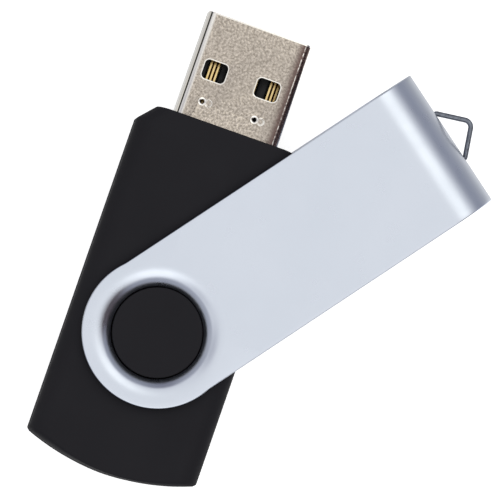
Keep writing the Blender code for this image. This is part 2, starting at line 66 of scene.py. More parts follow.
# The plastic body. Its rear arc stops REAR_STOP short of each corner, and no step of its
# outline is wider than WIDEST_STEP degrees as seen from the swivel axis.
BODY_HALF = BODY_HIGH.x
BODY_FRONT = BODY_HIGH.y
BODY_REAR = -BODY_LOW.y
BODY_REAR_RADIUS = 26.1 * MM
BODY_FACE = 4.2 * MM
SHOULDER_ACROSS = 1.7 * MM
SHOULDER_ALONG = 1.9 * MM
SIDE_ROUND = 2.4 * MM
END_ROUND = 0.16 * MM
CORNER_ROUND = 0.3 * MM
CORNER_STEPS = 5
REAR_STOP = 1.2 * CORNER_ROUND
REAR_STEPS = 48
SIDE_STEPS = 20
END_STEPS = 8
WIDEST_STEP = 2.0
WALL = 1.2 * MM
SEAM_HALF = 0.03 * MM
SEAM_CHAMFER = 0.08 * MM
SEAM_MIDWAY = 0.3 * SEAM_CHAMFER
LIP_OUTSIDE = 0.6 * MM
LIP_CLEARANCE = 0.05 * MM
LIP_HEIGHT = 0.5 * MM
OPENING_CLEARANCE = 0.04 * MM
OPENING_FLARE = 0.1 * MM

# The boss that the cover turns on, and the groove around it.
BOSS_RADIUS = 4.95 * MM
BOSS_CORE_RADIUS = 3.7 * MM
BOSS_BELOW_COVER = 0.48 * MM
BOSS_ROUND = 0.1 * MM
GROOVE_RADIUS = 7.0 * MM
GROOVE_DEPTH = 0.8 * MM
GROOVE_ROUND = 0.12 * MM

# The sheet-metal cover, in its own frame, where it points along +Y.
COVER_SHEET = 0.8 * MM
COVER_HALF_WIDTH = 8.25 * MM
COVER_END_RADIUS = 8.34 * MM
COVER_LENGTH = 39.53 * MM
COVER_EDGE = 0.2 * MM
HOLE_RADIUS = 5.05 * MM
ROUND_STEPS = 192
DISH_STEPS = 5
BEND_STEPS = 48
RUN_STEPS = 12

# The pressed rim around each hole, as (distance from the swivel axis, slope in degrees).
DISH_SLOPES = (
    (HOLE_RADIUS, 44),
    (5.5 * MM, 38),
    (5.9 * MM, 36),
    (6.2 * MM, 22),
    (6.65 * MM, 14),
    (7.05 * MM, 6),
    (7.5 * MM, 0),
)

# The key loop and its slots.
WIRE_RADIUS = 0.29 * MM
LOOP_HALF_WIDTH = 2.93 * MM
LOOP_OFFSET = -0.17 * MM
LOOP_REACH = 3.02 * MM
LOOP_FOOT = 1.4 * MM
LOOP_BEND = 0.8 * MM
SLOT_WIDTH = 1.26 * MM
SLOT_HEIGHT = 2.3 * MM

# The plug.
PLUG_SHEET = 0.3 * MM
PLUG_CORNER = 0.9 * MM
PLUG_ARM = 3.3 * MM
PLUG_ARM_CORNER = 0.3 * MM
PLUG_EDGE = 0.11 * MM
CREASE_X = -5.7 * MM
CREASE_WIDTH = 0.12 * MM
CREASE_DEPTH = 0.4 * MM
WINDOW_X = 3.06 * MM
WINDOW_OFFSET = -0.24 * MM
WINDOW_WIDTH = 2.66 * MM
WINDOW_LENGTH = 2.2 * MM
WINDOW_CORNER = 0.5 * MM
WINDOW_FROM_TIP = 6.22 * MM
PUNCH_X = 3.05 * MM
PUNCH_OFFSET = -0.13 * MM
PUNCH_HALF_SPAN = 0.36 * MM
PUNCH_FROM_TIP = 9.8 * MM
PUNCH_HOLE = 0.23 * MM
PUNCH_CONE = 0.9 * MM
PUNCH_RIM = 0.42 * MM
PUNCH_DEPTH = 0.08 * MM
PUNCH_SLIT_WIDTH = 0.5 * PUNCH_HOLE
PUNCH_SLIT_LENGTH = 2.4 * PUNCH_HOLE
PUNCH_SLIT_CORNER = 0.2 * PUNCH_HOLE

# Where the plug's plating is worn bright, where painted highlights glint and rim the windows,
# and where painted shade darkens the right side.
WORN_TIP = 0.15 * MM
WORN_LEFT = (-5.05 * MM, -5.35 * MM)
WORN_RIGHT = (5.8 * MM, 5.88 * MM)
GLINT_X = 5.33 * MM
GLINT_WIDTH = 0.085 * MM
PAINTED_SHADE_RIGHT = (4.2 * MM, 5.3 * MM)
WINDOW_RIM_HIGHLIGHT = 0.08 * MM
WEAR_AND_HIGHLIGHT_FADE = 0.06 * MM

# The plug's insulator.
TONGUE_BLOCK = 2.6 * MM
TONGUE_EDGE = 0.06 * MM
TONGUE_SLOPE_LENGTH = 0.45 * MM
TONGUE_SLOPE_DROP = 0.3 * MM
SLOT_DEPTH = 0.45 * MM
SLOT_ACROSS = 1.6 * MM
SLOT_CORNER = 0.08 * MM
SLOT_PAST_NOSE = 0.2 * MM

# The contacts. CONTACT_X is how far their centres are from the middle of the four.
CONTACT_NODES = (
    "usb_contact_power",
    "usb_contact_data_minus",
    "usb_contact_data_plus",
    "usb_contact_ground",
)
CONTACT_X = (1.0 * MM, 3.5 * MM)
CONTACT_OFFSET = 0.15 * MM
CONTACT_WIDTH = 1.3 * MM
CONTACT_SHEET = 0.25 * MM
CONTACT_GROOVE = 0.2 * MM
CONTACT_GROOVE_DEPTH = 0.2 * MM
CONTACT_TAIL = 1.4 * MM
CONTACT_RISE = 0.8 * MM
CONTACT_NOSE = 0.7 * MM
CONTACT_DIP = 0.22 * MM
CONTACT_STEPS = 6
CONTACT_COLUMNS = 54

# The camera. Its picture is VIEW_WIDTH wide at the target.
TARGET = Vector((7.0 * MM, 12.26 * MM, MIDDLE))
CAMERA_BACK = Vector((-0.078, -0.069, 1.0)).normalized()
CAMERA_ROLL = math.radians(19.4)
CAMERA_DISTANCE = 0.7
VIEW_WIDTH = 55.2 * MM

# The floor glows a little, like a lit table, so that the drive hardly shadows it.
FLOOR_GLOW = 0.75
FLOOR_HALF = 2.0
FLOOR_GAP = 0.02 * MM

# The studio's light by height, from straight down (-1) to straight up (1), and the soft patches
# laid over it, as (direction, full within degrees, none beyond degrees, colour).
SKY = (
    (-1.0, (0.74, 0.74, 0.73)),
    (-0.85, (0.70, 0.70, 0.70)),
    (-0.60, (0.52, 0.52, 0.53)),
    (-0.2, (0.42, 0.43, 0.48)),
    (0.05, (0.34, 0.355, 0.42)),
    (0.30, (0.32, 0.33, 0.39)),
    (0.62, (0.93, 0.93, 0.95)),
    (0.8, (1.0, 1.0, 1.0)),
    (1.0, (1.0, 1.0, 1.0)),
)
LIGHTS = (
    ((0.39, 0.59, 1.0), 8, 21, (1.62, 1.62, 1.56)),
    ((0.28, -0.49, 1.0), 8, 21, (1.70, 1.70, 1.66)),
    ((-1.0, 0.07, -0.75), 12, 42, (0.66, 0.66, 0.66)),
    ((1.0, 0.07, -0.75), 12, 42, (1.5, 1.5, 1.5)),
    ((-1.0, -0.15, -0.1), 12, 26, (0.85, 0.84, 0.80)),
    ((-0.60, 0.03, 0.79), 7, 19, (0.56, 0.56, 0.61)),
    ((-0.26, -0.54, 0.80), 5, 14, (0.70, 0.70, 0.74)),
    ((-0.305, 0.868, 0.39), 8, 20, (0.24, 0.24, 0.30)),
    ((0.895, -0.05, 0.44), 15, 31, (0.07, 0.045, 0.05)),
    ((1.0, 0.1, -0.15), 4, 12, (1.10, 1.10, 1.10)),
)

PIECES = bpy.data.collections.new("visible_pieces")
bpy.context.scene.collection.children.link(PIECES)


# ---------------------------------------------------------------- mesh tools


def add_mesh(name, bm, sharp_angle=35):
    """Makes an object from a bmesh, shaded smooth except at its sharp edges."""
    bmesh.ops.recalc_face_normals(bm, faces=bm.faces[:])
    mesh = bpy.data.meshes.new(name)
    bm.to_mesh(mesh)
    bm.free()
    mesh.shade_smooth()
    mesh.set_sharp_from_angle(angle=math.radians(sharp_angle))
    obj = bpy.data.objects.new(name, mesh)
    PIECES.objects.link(obj)
    return obj


def loft(bm, rows):
    """Joins closed rows of points, each with the same count, with quads. Returns their verts."""
    made = [[bm.verts.new(point) for point in row] for row in rows]
    for row, following in zip(made, made[1:]):
        count = len(row)
        for i in range(count):
            j = (i + 1) % count
            bm.faces.new((row[i], row[j], following[j], following[i]))
    return made


def cap(bm, ring, centre):
    """Closes a ring of verts with a fan around a centre point."""
    middle = bm.verts.new(centre)
    for i in range(len(ring)):
        bm.faces.new((ring[i], ring[(i + 1) % len(ring)], middle))


def arc(centre_x, centre_y, radius, start, end, steps):
    """Points on an arc between two angles in degrees."""
    angles = [math.radians(start + (end - start) * i / steps) for i in range(steps + 1)]
    return [(centre_x + radius * math.cos(a), centre_y + radius * math.sin(a)) for a in angles]


def rounded_rectangle(width, height, radius, steps, centre_x=0.0, centre_y=0.0):
    """A rectangle's outline with rounded corners."""
    points = []
    for side_x, side_y, start in ((1, 1, 0), (-1, 1, 90), (-1, -1, 180), (1, -1, 270)):
        corner_x = centre_x + side_x * (width / 2 - radius)
        corner_y = centre_y + side_y * (height / 2 - radius)
        points += arc(corner_x, corner_y, radius, start, start + 90, steps)
    return points


def stadium(width, height, steps, centre_x, centre_y):
    """A slot's outline: an upright rectangle with half-round ends."""
    radius = width / 2
    rise = height / 2 - radius
    top = arc(centre_x, centre_y + rise, radius, 0, 180, steps)
    return top + arc(centre_x, centre_y - rise, radius, 180, 360, steps)


def prism(name, outline, low, high, upright=False):
    """Extrudes an outline along Z or, if upright, reads it as (x, z) and extrudes it along Y."""
    bm = bmesh.new()
    if upright:
        rows = [[(x, y, z) for x, z in outline] for y in (low, high)]
    else:
        rows = [[(x, y, z) for x, y in outline] for z in (low, high)]
    ends = loft(bm, rows)
    bm.faces.new(ends[0])
    bm.faces.new(ends[-1])
    return add_mesh(name, bm)


def cylinder(name, top_radius, bottom_radius, low, high, x, y, steps=32):
    bm = bmesh.new()
    bmesh.ops.create_cone(
        bm,
        cap_ends=True,
        segments=steps,
        radius1=bottom_radius,
        radius2=top_radius,
        depth=high - low,
        matrix=Matrix.Translation((x, y, (low + high) / 2)),
    )
    return add_mesh(name, bm)


def cut(obj, tool):
    """Cuts the tool's shape out of obj, and removes the tool."""
    modifier = obj.modifiers.new("cut", "BOOLEAN")
    modifier.operation = "DIFFERENCE"
    modifier.object = tool
    modifier.solver = "EXACT"
    apply_modifiers(obj)
    bpy.data.objects.remove(tool, do_unlink=True)


def bevel(obj, width, segments=3, angle=50):
    modifier = obj.modifiers.new("edges", "BEVEL")
    modifier.width = width
    modifier.segments = segments
    modifier.limit_method = "ANGLE"
    modifier.angle_limit = math.radians(angle)
    modifier.miter_outer = "MITER_ARC"
    apply_modifiers(obj)


def apply_modifiers(obj):
    """Keeps the shape that the modifiers give, and drops the modifiers."""
    bpy.context.view_layer.update()
    graph = bpy.context.evaluated_depsgraph_get()
    mesh = bpy.data.meshes.new_from_object(obj.evaluated_get(graph))
    mesh.name = obj.name
    obj.modifiers.clear()
    obj.data = mesh


def smooth(obj, sharp_angle=40):
    """Shades a mesh smooth again after its edges have been cut or bevelled."""
    obj.data.shade_smooth()
    obj.data.set_sharp_from_angle(angle=math.radians(sharp_angle))


def finish_piece(obj, body, slot, material, *nodes):
    """Gives a piece its material and its body, and hides the CAD nodes that it stands for."""
    obj.data.materials.clear()
    obj.data.materials.append(material)
    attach(obj, body)
    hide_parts(*nodes)


# ---------------------------------------------------------------- materials


class Look:
    """A Principled material whose parts are added one node at a time."""

    def __init__(self, name, colour, roughness, metallic=0.0, specular=0.5):
        self.material = bpy.data.materials.new(name)
        self.material.use_nodes = True
        self.tree = self.material.node_tree
        self.shader = self.tree.nodes["Principled BSDF"]
        self.shader.inputs["Base Color"].default_value = (*colour, 1.0)
        self.shader.inputs["Roughness"].default_value = roughness
        self.shader.inputs["Metallic"].default_value = metallic
        self.shader.inputs["Specular IOR Level"].default_value = specular
        self.place = self.tree.nodes.new("ShaderNodeTexCoord").outputs["Object"]

    def link(self, output, socket):
        self.tree.links.new(output, socket)

    def noise(self, size, detail=3.0, stretch=None):
        """Noise whose features are about size metres across."""
        place = self.place
        if stretch:
            mapping = self.tree.nodes.new("ShaderNodeMapping")
            mapping.inputs["Scale"].default_value = stretch
            self.link(place, mapping.inputs["Vector"])
            place = mapping.outputs["Vector"]
        node = self.tree.nodes.new("ShaderNodeTexNoise")
        node.inputs["Scale"].default_value = 1.0 / size
        node.inputs["Detail"].default_value = detail
        node.inputs["Roughness"].default_value = 0.55
        self.link(place, node.inputs["Vector"])
        return node.outputs["Fac"]

    def spread(self, value, low, high):
        """Maps the middle of a noise, 0.3 to 0.7, to the range low to high."""
        node = self.tree.nodes.new("ShaderNodeMapRange")
        node.inputs["From Min"].default_value = 0.3
        node.inputs["From Max"].default_value = 0.7
        node.inputs["To Min"].default_value = low
        node.inputs["To Max"].default_value = high
        self.link(value, node.inputs["Value"])
        return node.outputs["Result"]

    def vector_math(self, operation, first, second=None):
        """One operation on a linked vector and, where it needs a second, a fixed one."""
        node = self.tree.nodes.new("ShaderNodeVectorMath")
        node.operation = operation
        self.link(first, node.inputs[0])
        if second:
            node.inputs[1].default_value = second
        return node.outputs["Value" if operation == "LENGTH" else "Vector"]

    def axes(self):
        """The X and Y of the place."""
        node = self.tree.nodes.new("ShaderNodeSeparateXYZ")
        self.link(self.place, node.inputs["Vector"])
        return node.outputs["X"], node.outputs["Y"]

    def distance_to_box(self, centre, half, offset=0.0):
        """Distance to a box or its mirror image across X, both moved along X by the offset."""
        place = self.vector_math("SUBTRACT", self.place, (offset, 0.0, 0.0))
        place = self.vector_math("ABSOLUTE", place)
        place = self.vector_math("SUBTRACT", place, centre)
        place = self.vector_math("ABSOLUTE", place)
        place = self.vector_math("SUBTRACT", place, half)
        return self.vector_math("LENGTH", self.vector_math("MAXIMUM", place, (0.0, 0.0, 0.0)))

    def ramp(self, value, start, end):
        """Rises from 0 to 1 as the value goes from start to end, which may be the smaller."""
        node = self.tree.nodes.new("ShaderNodeMapRange")
        node.interpolation_type = "SMOOTHSTEP"
        node.inputs["From Min"].default_value = start
        node.inputs["From Max"].default_value = end
        self.link(value, node.inputs["Value"])
        return node.outputs["Result"]

    def combine(self, operation, first, second):
        """One operation on two numbers, such as MAXIMUM or MULTIPLY."""
        node = self.tree.nodes.new("ShaderNodeMath")
        node.operation = operation
        self.link(first, node.inputs[0])
        self.link(second, node.inputs[1])
        return node.outputs["Value"]

    def vary_roughness(self, value, low, high, wear_and_highlight=None, worn_roughness=0.0):
        """Roughness from a noise value and, where the wear-and-highlight mask is 1, one fixed
        roughness.
        """
        roughness = self.spread(value, low, high)
        if wear_and_highlight:
            node = self.tree.nodes.new("ShaderNodeMix")
            node.inputs["B"].default_value = worn_roughness
            self.link(wear_and_highlight, node.inputs["Factor"])
            self.link(roughness, node.inputs["A"])
            roughness = node.outputs["Result"]
        self.link(roughness, self.shader.inputs["Roughness"])

    def mix_colours(self, factor, first, second):
        """Mixes two colours. The first may be a fixed colour or another node's output."""
        node = self.tree.nodes.new("ShaderNodeMix")
        node.data_type = "RGBA"
        if isinstance(first, tuple):
            node.inputs["A"].default_value = (*first, 1.0)
        else:
            self.link(first, node.inputs["A"])
        node.inputs["B"].default_value = (*second, 1.0)
        self.link(factor, node.inputs["Factor"])
        return node.outputs["Result"]

    def vary_colour(self, value, dark, light, *layers):
        """Mixes two colours by a noise value, then lays each (mask, colour) over them."""
        colour = self.mix_colours(self.spread(value, 0.0, 1.0), dark, light)
        for mask, layer in layers:
            colour = self.mix_colours(mask, colour, layer)
        self.link(colour, self.shader.inputs["Base Color"])

    def bump(self, value, height, wear_and_highlight=None):
        """Gives relief, height metres deep, and little where the wear-and-highlight mask is
        high.
        """
        node = self.tree.nodes.new("ShaderNodeBump")
        node.inputs["Distance"].default_value = height
        if wear_and_highlight:
            self.link(self.ramp(wear_and_highlight, 1.2, 0.0), node.inputs["Strength"])
        self.link(value, node.inputs["Height"])
        self.link(node.outputs["Normal"], self.shader.inputs["Normal"])


def soft_touch_plastic():
    look = Look("soft_touch_plastic", (0.0195, 0.0190, 0.0220), 0.6, specular=0.045)
    cloud = look.noise(6.0 * MM, 2.0)
    look.vary_colour(cloud, (0.0188, 0.0183, 0.0212), (0.0208, 0.0203, 0.0233))
    look.vary_roughness(look.noise(1.5 * MM), 0.56, 0.66)
    look.bump(look.noise(0.09 * MM, 2.0), 0.004 * MM)
    return look.material


def anodised_aluminium():
    look = Look("anodised_aluminium", (0.63, 0.67, 0.745), 0.3, metallic=1.0)
    cloud = look.noise(9.0 * MM, 2.0)
    look.vary_colour(cloud, (0.62, 0.663, 0.738), (0.64, 0.68, 0.755))
    look.vary_roughness(look.noise(2.0 * MM), 0.27, 0.32)
    look.bump(look.noise(0.3 * MM, 2.0), 0.0012 * MM)
    return look.material


def nickel_plate():
    """Grainy nickel with polished corners and tip, painted shade along the right side, painted
    highlights near the right edge and round the windows and punched marks, and a painted shadow
    in the crease.
    """
    look = Look("nickel_plate", (0.42, 0.37, 0.32), 0.30, metallic=1.0)
    across, along = look.axes()
    tip = PLUG_HIGH.y
    length = (0.0, tip, THICKNESS)
    wear_and_highlight = look.combine("MAXIMUM", look.ramp(across, *WORN_LEFT), look.ramp(across, *WORN_RIGHT))
    end = look.ramp(along, tip - WORN_TIP - WEAR_AND_HIGHLIGHT_FADE, tip - WORN_TIP)
    wear_and_highlight = look.combine("MAXIMUM", wear_and_highlight, end)
    # A painted highlight: a speckled bright line near the right edge.
    speckle = look.spread(look.noise(0.35 * MM, 1.0), 0.0, 1.2)
    from_glint = look.distance_to_box((0.0, 0.0, MIDDLE), length, GLINT_X)
    glint = look.combine("MULTIPLY", look.ramp(from_glint, GLINT_WIDTH, 0.0), speckle)
    wear_and_highlight = look.combine("MAXIMUM", wear_and_highlight, glint)
    # A painted highlight: a bright band round the rim of each window.
    window = (WINDOW_WIDTH / 2 - WINDOW_CORNER, WINDOW_LENGTH / 2 - WINDOW_CORNER, THICKNESS)
    centre = (WINDOW_X, tip - WINDOW_FROM_TIP, MIDDLE)
    from_window = look.distance_to_box(centre, window, WINDOW_OFFSET)
    rim = WINDOW_CORNER + WINDOW_RIM_HIGHLIGHT
    wear_and_highlight = look.combine("MAXIMUM", wear_and_highlight, look.ramp(from_window, rim + WEAR_AND_HIGHLIGHT_FADE, rim))
    # A painted highlight: a bright ring round each punched mark, speckled on the dent.
    for mark in (-PUNCH_HALF_SPAN, PUNCH_HALF_SPAN):
        centre = (PUNCH_X, tip - PUNCH_FROM_TIP, PLUG_HIGH.z)
        from_mark = look.distance_to_box(centre, (0.0, 0.0, PLUG_SHEET), PUNCH_OFFSET + mark)
        outer = look.ramp(from_mark, PUNCH_RIM + WEAR_AND_HIGHLIGHT_FADE, PUNCH_RIM)
        inner = look.ramp(from_mark, 0.5 * PUNCH_RIM, 0.8 * PUNCH_RIM)
        ring = look.combine("MULTIPLY", outer, inner)
        if mark > 0:
            ring = look.combine("MULTIPLY", ring, speckle)
        wear_and_highlight = look.combine("MAXIMUM", wear_and_highlight, ring)
    # A painted shadow: a dark line along the crease groove near the upper left edge.
    upper_edge = (0.0, tip, PLUG_CORNER)
    from_crease = look.distance_to_box((0.0, 0.0, PLUG_HIGH.z), upper_edge, CREASE_X)
    grain = look.noise(0.27 * MM, 1.2)
    look.vary_colour(
        grain,
        (0.30, 0.262, 0.222),
        (0.57, 0.508, 0.445),
        # Painted shade: the face darkens towards the right edge.
        (look.ramp(across, *PAINTED_SHADE_RIGHT), (0.125, 0.082, 0.075)),
        # Bright plating where it is worn, and painted highlights at the glint line, window rims
        # and punched marks.
        (wear_and_highlight, (0.86, 0.83, 0.78)),
        (look.ramp(from_crease, 0.8 * CREASE_WIDTH, 0.4 * CREASE_WIDTH), (0.03, 0.027, 0.018)),
    )
    look.vary_roughness(look.noise(0.5 * MM), 0.22, 0.32, wear_and_highlight, 0.18)
    look.bump(grain, 0.06 * MM, wear_and_highlight)
    return look.material


def steel_wire():
    look = Look("steel_wire", (0.17, 0.185, 0.21), 0.35, metallic=1.0)
    drawn = look.noise(0.25 * MM, 3.0)
    look.vary_colour(drawn, (0.12, 0.13, 0.155), (0.23, 0.25, 0.29))
    look.vary_roughness(drawn, 0.25, 0.45)
    look.bump(drawn, 0.008 * MM)
    return look.material


def gold_plate():
    """Worn gold, painted darker in the two grooves along each contact."""
    look = Look("gold_plate", (0.80, 0.61, 0.29), 0.22, metallic=1.0)
    wear = look.noise(0.4 * MM, 2.0)
    half = (0.0, PLUG_HIGH.y, THICKNESS)
    groove_darkening = []
    # Each contact is painted darker brown along its two grooves.
    for x in CONTACT_X:
        for groove in (x - CONTACT_WIDTH / 6, x + CONTACT_WIDTH / 6):
            distance = look.distance_to_box((groove, 0.0, MIDDLE), half, CONTACT_OFFSET)
            groove_dark = look.ramp(distance, CONTACT_GROOVE / 2, CONTACT_GROOVE / 4)
            groove_darkening.append((groove_dark, (0.24, 0.14, 0.05)))
    look.vary_colour(wear, (0.75, 0.55, 0.24), (0.86, 0.67, 0.34), *groove_darkening)
    look.vary_roughness(wear, 0.18, 0.30)
    look.bump(look.noise(0.08 * MM, 2.0), 0.001 * MM)
    return look.material


def black_insulator():
    look = Look("black_insulator", (0.010, 0.010, 0.011), 0.45, specular=0.3)
    look.vary_roughness(look.noise(0.6 * MM), 0.38, 0.55)
    look.bump(look.noise(0.12 * MM), 0.004 * MM)
    return look.material


def solder_mask():
    look = Look("solder_mask", (0.01, 0.12, 0.04), 0.35)
    weave = look.noise(0.5 * MM, 2.0, stretch=(1.0, 0.2, 1.0))
    look.vary_colour(weave, (0.008, 0.10, 0.035), (0.014, 0.15, 0.05))
    look.vary_roughness(look.noise(0.8 * MM), 0.28, 0.42)
    look.bump(weave, 0.01 * MM)
    return look.material


def chip_epoxy():
    look = Look("chip_epoxy", (0.02, 0.02, 0.022), 0.6)
    grain = look.noise(0.1 * MM)
    look.vary_colour(grain, (0.016, 0.016, 0.018), (0.028, 0.028, 0.030))
    look.vary_roughness(grain, 0.5, 0.7)
    look.bump(grain, 0.006 * MM)
    return look.material


def crystal_can():
    look = Look("crystal_can", (0.62, 0.62, 0.60), 0.3, metallic=1.0)
    brushed = look.noise(0.2 * MM, 3.0, stretch=(1.0, 0.1, 1.0))
    look.vary_colour(brushed, (0.55, 0.55, 0.53), (0.70, 0.70, 0.68))
    look.vary_roughness(brushed, 0.22, 0.36)
    look.bump(brushed, 0.003 * MM)
    return look.material


def ceramic(name, dark, light):
    look = Look(name, light, 0.5)
    speckle = look.noise(0.15 * MM)
    look.vary_colour(speckle, dark, light)
    look.vary_roughness(speckle, 0.4, 0.6)
    look.bump(speckle, 0.004 * MM)
    return look.material


# ---------------------------------------------------------------- the body


def fillet(corners, radius, steps):
    """Rounds each corner of a closed outline with an arc."""
    points = []
    count = len(corners)
    for i in range(count):
        here = Vector(corners[i])
        back = (Vector(corners[i - 1]) - here).normalized()
        ahead = (Vector(corners[(i + 1) % count]) - here).normalized()
        half_angle = back.angle(ahead) / 2
        reach = radius / math.tan(half_angle)
        centre = here + (back + ahead).normalized() * (radius / math.sin(half_angle))
        start = (here + back * reach) - centre
        turn = start.angle_signed((here + ahead * reach) - centre)
        for k in range(steps + 1):
            spoke = start.copy()
            spoke.rotate(Matrix.Rotation(-turn * k / steps, 2))
            points.append(tuple(centre + spoke))
    return points


def split_long_runs(outline, most_degrees):
    """Adds points to straight runs, so that no step is wide as seen from the swivel axis."""
    points = []
    for i, here in enumerate(outline):
        ahead = outline[(i + 1) % len(outline)]
        swing = math.degrees(Vector(here).angle(Vector(ahead)))
        parts = max(1, math.ceil(swing / most_degrees))
        for k in range(parts):
            share = k / parts
            points.append(
                (here[0] + (ahead[0] - here[0]) * share, here[1] + (ahead[1] - here[1]) * share)
            )
    return points


def body_outline():
    """The body seen from above: chamfered shoulders, straight sides and a curved rear end."""
    rise = math.sqrt(BODY_REAR_RADIUS**2 - BODY_HALF**2)
    rear_centre = BODY_REAR_RADIUS - BODY_REAR
    corner_y = rear_centre - rise
    shoulder_y = BODY_FRONT - SHOULDER_ALONG
    shoulder_x = BODY_HALF - SHOULDER_ACROSS
    swing = math.degrees(math.asin(BODY_HALF / BODY_REAR_RADIUS))
    corners = [
        (-BODY_HALF, corner_y),
        (BODY_HALF, corner_y),
        (BODY_HALF, shoulder_y),
        (shoulder_x, BODY_FRONT),
        (-shoulder_x, BODY_FRONT),
        (-BODY_HALF, shoulder_y),
    ]
    rounded = fillet(corners, CORNER_ROUND, CORNER_STEPS)
    per_corner = CORNER_STEPS + 1
    left, right = rounded[:per_corner], rounded[per_corner : 2 * per_corner]
    swing -= math.degrees(REAR_STOP / BODY_REAR_RADIUS)
    rear = arc(0.0, rear_centre, BODY_REAR_RADIUS, 270 - swing, 270 + swing, REAR_STEPS)
    # Each rear corner gives up its two rearmost points to the rear arc.
    outline = rear + right[2:] + rounded[2 * per_corner :] + left[:-2]
    return split_long_runs(outline, WIDEST_STEP)


def squeeze(outline, side_inset, end_inset):
    """Draws the outline in from its sides and from its two ends."""
    points = []
    for x, y in outline:
        reach = BODY_FRONT if y > 0 else BODY_REAR
        points.append((x * (1 - side_inset / BODY_HALF), y * (1 - end_inset / reach)))
    return points


def inset_at(height, face, radius):
    """How far a rounded edge has come in at a height below the face that it meets."""
    depth = face - height
    if depth >= radius:
        return 0.0
    return radius - math.sqrt(max(0.0, 2 * radius * depth - depth * depth))


def circle_row(outline, radius, z):
    """The outline's points, drawn in to a circle around the swivel axis."""
    row = []
    for x, y in outline:
        length = math.hypot(x, y)
        row.append((x / length * radius, y / length * radius, z))
    return row


def shell_rows(outline):
    """The shell from its seam, over the outside to the middle of the boss: rows of points."""
    floor = BODY_FACE - GROOVE_DEPTH
    boss_top = THICKNESS / 2 - BOSS_BELOW_COVER
    rows = []

    def level(z, side_inset, end_inset):
        rows.append([(x, y, z) for x, y in squeeze(outline, side_inset, end_inset)])

    def turned(points):
        rows.extend(circle_row(outline, radius, z) for radius, z in points)

    level(SEAM_HALF, SEAM_CHAMFER, SEAM_CHAMFER)
    level(SEAM_HALF + SEAM_MIDWAY, SEAM_MIDWAY, SEAM_MIDWAY)
    level(SEAM_HALF + SEAM_CHAMFER, 0.0, 0.0)
    sides = arc(0.0, BODY_FACE - SIDE_ROUND, SIDE_ROUND, 0, 90, SIDE_STEPS)
    ends = arc(0.0, BODY_FACE - END_ROUND, END_ROUND, 0, 90, END_STEPS)
    heights = [z for _, z in sides if z < BODY_FACE - END_ROUND] + [z for _, z in ends]
    for z in heights:
        level(z, inset_at(z, BODY_FACE, SIDE_ROUND), inset_at(z, BODY_FACE, END_ROUND))
    top, bottom = BODY_FACE - GROOVE_ROUND, floor + GROOVE_ROUND
    turned(arc(GROOVE_RADIUS + GROOVE_ROUND, top, GROOVE_ROUND, 90, 180, 4))
    turned(arc(GROOVE_RADIUS - GROOVE_ROUND, bottom, GROOVE_ROUND, 0, -90, 3))
    turned(arc(BOSS_RADIUS + GROOVE_ROUND, bottom, GROOVE_ROUND, 270, 180, 3))
    turned(arc(BOSS_RADIUS - BOSS_ROUND, boss_top - BOSS_ROUND, BOSS_ROUND, 0, 90, 5))
    turned([(BOSS_RADIUS * 0.6, boss_top), (BOSS_RADIUS * 0.2, boss_top)])
    return rows


def hollow_rows(outline, is_lower):
    """The shell's inside, from the middle of the boss back to the seam. The lower shell's wall
    ends in a lip, which stands inside the upper shell's wall."""
    ceiling = BODY_FACE - WALL
    under_groove = BODY_FACE - GROOVE_DEPTH - WALL
    boss_ceiling = THICKNESS / 2 - BOSS_BELOW_COVER - WALL
    rows = [
        circle_row(outline, BOSS_CORE_RADIUS * 0.2, boss_ceiling),
        circle_row(outline, BOSS_CORE_RADIUS, boss_ceiling),
        circle_row(outline, BOSS_CORE_RADIUS, under_groove),
        circle_row(outline, GROOVE_RADIUS + WALL / 2, under_groove),
        circle_row(outline, GROOVE_RADIUS + WALL / 2, ceiling),
    ]
    if is_lower:
        steps = (
            (WALL, ceiling),
            (WALL, -LIP_HEIGHT),
            (LIP_OUTSIDE + LIP_CLEARANCE, -LIP_HEIGHT),
            (LIP_OUTSIDE + LIP_CLEARANCE, SEAM_HALF),
        )
    else:
        steps = (
            (WALL, ceiling),
            (WALL, LIP_HEIGHT + 2 * LIP_CLEARANCE),
            (LIP_OUTSIDE, LIP_HEIGHT + 2 * LIP_CLEARANCE),
            (LIP_OUTSIDE, SEAM_HALF),
        )
    for inset, z in steps:
        rows.append([(x, y, z) for x, y in squeeze(outline, inset, inset)])
    return rows


def body_shell(name, is_lower):
    """One half of the body as a single loft: outside, boss, inside and back to the seam."""
    outline = body_outline()
    bm = bmesh.new()
    outside = loft(bm, shell_rows(outline))
    boss_top = THICKNESS / 2 - BOSS_BELOW_COVER
    cap(bm, outside[-1], (0.0, 0.0, boss_top))
    inside = loft(bm, hollow_rows(outline, is_lower))
    cap(bm, inside[0], (0.0, 0.0, boss_top - WALL))
    count = len(outline)
    for i in range(count):
        j = (i + 1) % count
        bm.faces.new((inside[-1][i], inside[-1][j], outside[0][j], outside[0][i]))
    flip = Matrix.Diagonal((1, 1, -1 if is_lower else 1, 1))
    bm.transform(Matrix.Translation((0, 0, MIDDLE)) @ flip)
    shell = add_mesh(name, bm, 40)
    cut(shell, plug_opening())
    smooth(shell)
    return shell


